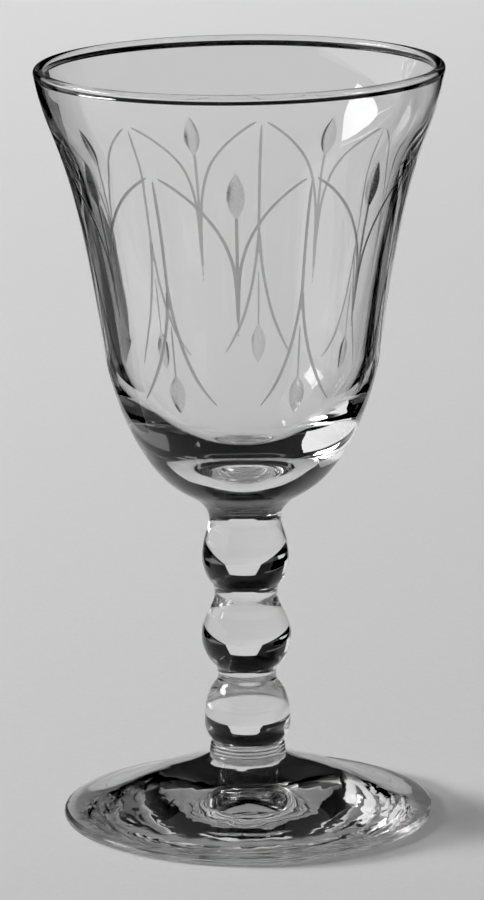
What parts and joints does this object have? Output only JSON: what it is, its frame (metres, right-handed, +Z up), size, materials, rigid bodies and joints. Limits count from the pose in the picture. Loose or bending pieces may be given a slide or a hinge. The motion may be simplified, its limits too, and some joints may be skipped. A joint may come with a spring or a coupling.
{
  "type": "cordial glass",
  "caption": "Small clear stemmed glass with a flared bowl, a stem of stacked balls and a wide sloping foot, free-standing, for liqueur or cordial.",
  "frame": {"origin": "on the glass's axis, at the resting face under the foot", "axes": "+Z up along the glass's axis, from the foot to the mouth; the glass is round, so +X and +Y are any two directions across it"},
  "size_m": [0.0538, 0.0538, 0.1015],
  "materials": {
    "clear_glass": "clear polished glass"
  },
  "bodies": {
    "root": {"bowl": "clear_glass", "bowl_collar": "clear_glass", "upper_ball": "clear_glass", "middle_ball": "clear_glass", "lower_ball": "clear_glass", "foot_collar": "clear_glass", "foot": "clear_glass"}
  },
  "joints": []
}
